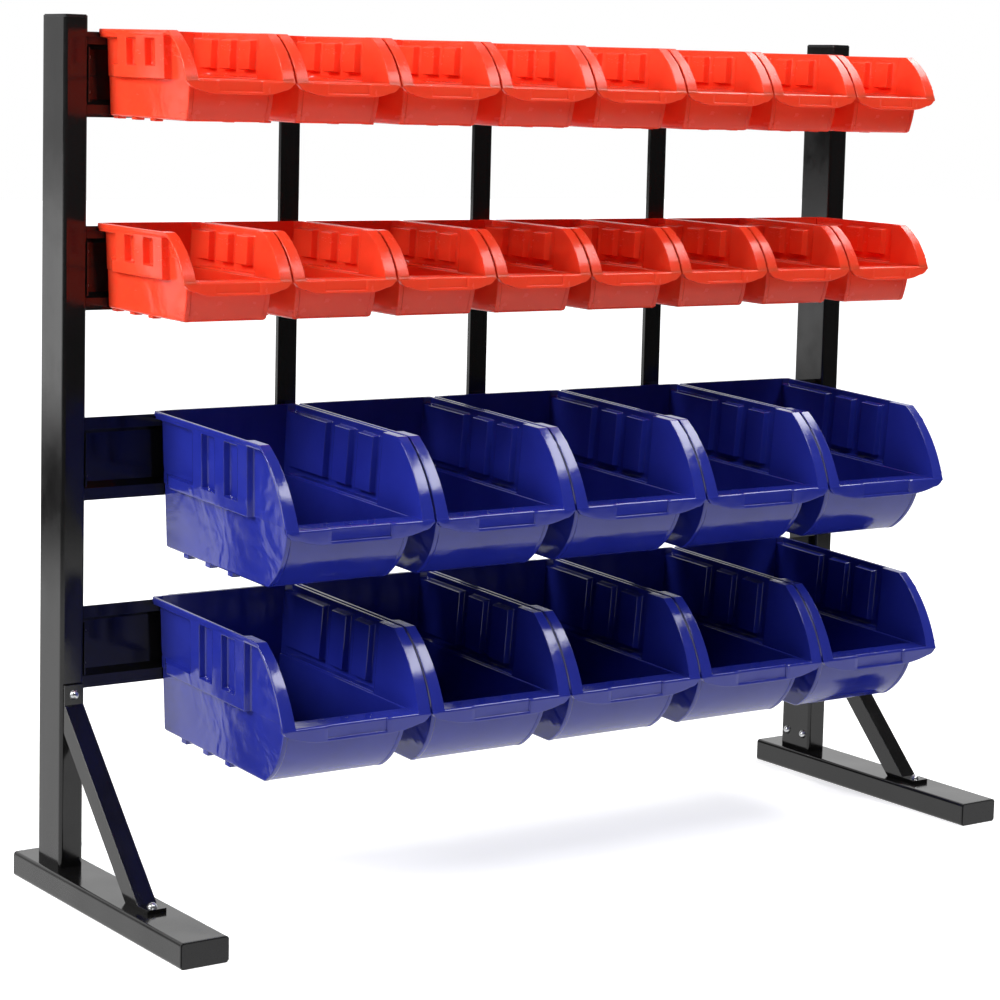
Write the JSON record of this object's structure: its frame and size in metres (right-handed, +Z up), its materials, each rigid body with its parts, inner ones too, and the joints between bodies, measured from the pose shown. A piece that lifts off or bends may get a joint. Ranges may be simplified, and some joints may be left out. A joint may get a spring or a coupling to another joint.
{
  "type": "workshop bin rack",
  "caption": "Free-standing black steel rack with rails that carry rows of small red and large blue open-fronted plastic bins.",
  "frame": {"origin": "on the floor, in the middle of the box round the feet", "axes": "+Z up, +X along the rack to the right as seen from the front, the bins open towards -Y"},
  "size_m": [1.025, 0.355, 0.861],
  "materials": {
    "frame_paint": "gloss black powder coat",
    "cap_plastic": "moulded black plastic",
    "zinc": "bright zinc plate",
    "red_plastic": "glossy moulded polypropylene",
    "blue_plastic": "glossy moulded polypropylene"
  },
  "bodies": {
    "frame": {"left_upright": "frame_paint", "right_upright": "frame_paint", "left_foot": "frame_paint", "right_foot": "frame_paint", "left_spigot": "frame_paint", "right_spigot": "frame_paint", "left_strut": "frame_paint", "right_strut": "frame_paint", "rail_1": "frame_paint", "rail_2": "frame_paint", "rail_3": "frame_paint", "rail_4": "frame_paint", "left_brace": "frame_paint", "middle_brace": "frame_paint", "right_brace": "frame_paint", "left_upright_cap": "cap_plastic", "right_upright_cap": "cap_plastic", "left_front_foot_cap": "cap_plastic", "left_back_foot_cap": "cap_plastic", "right_front_foot_cap": "cap_plastic", "right_back_foot_cap": "cap_plastic", "rail_bolts": "zinc", "foot_bolts": "zinc", "strut_bolts": "zinc", "brace_bolts": "zinc", "weld_nuts": "zinc", "brace_nuts": "zinc"},
    "red_bin_1_1_body": {"red_bin_1_1": "red_plastic"},
    "red_bin_1_2_body": {"red_bin_1_2": "red_plastic"},
    "red_bin_1_3_body": {"red_bin_1_3": "red_plastic"},
    "red_bin_1_4_body": {"red_bin_1_4": "red_plastic"},
    "red_bin_1_5_body": {"red_bin_1_5": "red_plastic"},
    "red_bin_1_6_body": {"red_bin_1_6": "red_plastic"},
    "red_bin_1_7_body": {"red_bin_1_7": "red_plastic"},
    "red_bin_1_8_body": {"red_bin_1_8": "red_plastic"},
    "red_bin_2_1_body": {"red_bin_2_1": "red_plastic"},
    "red_bin_2_2_body": {"red_bin_2_2": "red_plastic"},
    "red_bin_2_3_body": {"red_bin_2_3": "red_plastic"},
    "red_bin_2_4_body": {"red_bin_2_4": "red_plastic"},
    "red_bin_2_5_body": {"red_bin_2_5": "red_plastic"},
    "red_bin_2_6_body": {"red_bin_2_6": "red_plastic"},
    "red_bin_2_7_body": {"red_bin_2_7": "red_plastic"},
    "red_bin_2_8_body": {"red_bin_2_8": "red_plastic"},
    "blue_bin_3_1_body": {"blue_bin_3_1": "blue_plastic"},
    "blue_bin_3_2_body": {"blue_bin_3_2": "blue_plastic"},
    "blue_bin_3_3_body": {"blue_bin_3_3": "blue_plastic"},
    "blue_bin_3_4_body": {"blue_bin_3_4": "blue_plastic"},
    "blue_bin_3_5_body": {"blue_bin_3_5": "blue_plastic"},
    "blue_bin_4_1_body": {"blue_bin_4_1": "blue_plastic"},
    "blue_bin_4_2_body": {"blue_bin_4_2": "blue_plastic"},
    "blue_bin_4_3_body": {"blue_bin_4_3": "blue_plastic"},
    "blue_bin_4_4_body": {"blue_bin_4_4": "blue_plastic"},
    "blue_bin_4_5_body": {"blue_bin_4_5": "blue_plastic"}
  },
  "joints": [
    {"name": "red_bin_1_1_lift", "type": "slide", "parent": "frame", "child": "red_bin_1_1_body", "axis": [0, 0, 1], "range_m": [0, 0.012]},
    {"name": "red_bin_1_2_lift", "type": "slide", "parent": "frame", "child": "red_bin_1_2_body", "axis": [0, 0, 1], "range_m": [0, 0.012]},
    {"name": "red_bin_1_3_lift", "type": "slide", "parent": "frame", "child": "red_bin_1_3_body", "axis": [0, 0, 1], "range_m": [0, 0.012]},
    {"name": "red_bin_1_4_lift", "type": "slide", "parent": "frame", "child": "red_bin_1_4_body", "axis": [0, 0, 1], "range_m": [0, 0.012]},
    {"name": "red_bin_1_5_lift", "type": "slide", "parent": "frame", "child": "red_bin_1_5_body", "axis": [0, 0, 1], "range_m": [0, 0.012]},
    {"name": "red_bin_1_6_lift", "type": "slide", "parent": "frame", "child": "red_bin_1_6_body", "axis": [0, 0, 1], "range_m": [0, 0.012]},
    {"name": "red_bin_1_7_lift", "type": "slide", "parent": "frame", "child": "red_bin_1_7_body", "axis": [0, 0, 1], "range_m": [0, 0.012]},
    {"name": "red_bin_1_8_lift", "type": "slide", "parent": "frame", "child": "red_bin_1_8_body", "axis": [0, 0, 1], "range_m": [0, 0.012]},
    {"name": "red_bin_2_1_lift", "type": "slide", "parent": "frame", "child": "red_bin_2_1_body", "axis": [0, 0, 1], "range_m": [0, 0.012]},
    {"name": "red_bin_2_2_lift", "type": "slide", "parent": "frame", "child": "red_bin_2_2_body", "axis": [0, 0, 1], "range_m": [0, 0.012]},
    {"name": "red_bin_2_3_lift", "type": "slide", "parent": "frame", "child": "red_bin_2_3_body", "axis": [0, 0, 1], "range_m": [0, 0.012]},
    {"name": "red_bin_2_4_lift", "type": "slide", "parent": "frame", "child": "red_bin_2_4_body", "axis": [0, 0, 1], "range_m": [0, 0.012]},
    {"name": "red_bin_2_5_lift", "type": "slide", "parent": "frame", "child": "red_bin_2_5_body", "axis": [0, 0, 1], "range_m": [0, 0.012]},
    {"name": "red_bin_2_6_lift", "type": "slide", "parent": "frame", "child": "red_bin_2_6_body", "axis": [0, 0, 1], "range_m": [0, 0.012]},
    {"name": "red_bin_2_7_lift", "type": "slide", "parent": "frame", "child": "red_bin_2_7_body", "axis": [0, 0, 1], "range_m": [0, 0.012]},
    {"name": "red_bin_2_8_lift", "type": "slide", "parent": "frame", "child": "red_bin_2_8_body", "axis": [0, 0, 1], "range_m": [0, 0.012]},
    {"name": "blue_bin_3_1_lift", "type": "slide", "parent": "frame", "child": "blue_bin_3_1_body", "axis": [0, 0, 1], "range_m": [0, 0.012]},
    {"name": "blue_bin_3_2_lift", "type": "slide", "parent": "frame", "child": "blue_bin_3_2_body", "axis": [0, 0, 1], "range_m": [0, 0.012]},
    {"name": "blue_bin_3_3_lift", "type": "slide", "parent": "frame", "child": "blue_bin_3_3_body", "axis": [0, 0, 1], "range_m": [0, 0.012]},
    {"name": "blue_bin_3_4_lift", "type": "slide", "parent": "frame", "child": "blue_bin_3_4_body", "axis": [0, 0, 1], "range_m": [0, 0.012]},
    {"name": "blue_bin_3_5_lift", "type": "slide", "parent": "frame", "child": "blue_bin_3_5_body", "axis": [0, 0, 1], "range_m": [0, 0.012]},
    {"name": "blue_bin_4_1_lift", "type": "slide", "parent": "frame", "child": "blue_bin_4_1_body", "axis": [0, 0, 1], "range_m": [0, 0.012]},
    {"name": "blue_bin_4_2_lift", "type": "slide", "parent": "frame", "child": "blue_bin_4_2_body", "axis": [0, 0, 1], "range_m": [0, 0.012]},
    {"name": "blue_bin_4_3_lift", "type": "slide", "parent": "frame", "child": "blue_bin_4_3_body", "axis": [0, 0, 1], "range_m": [0, 0.012]},
    {"name": "blue_bin_4_4_lift", "type": "slide", "parent": "frame", "child": "blue_bin_4_4_body", "axis": [0, 0, 1], "range_m": [0, 0.012]},
    {"name": "blue_bin_4_5_lift", "type": "slide", "parent": "frame", "child": "blue_bin_4_5_body", "axis": [0, 0, 1], "range_m": [0, 0.012]}
  ]
}
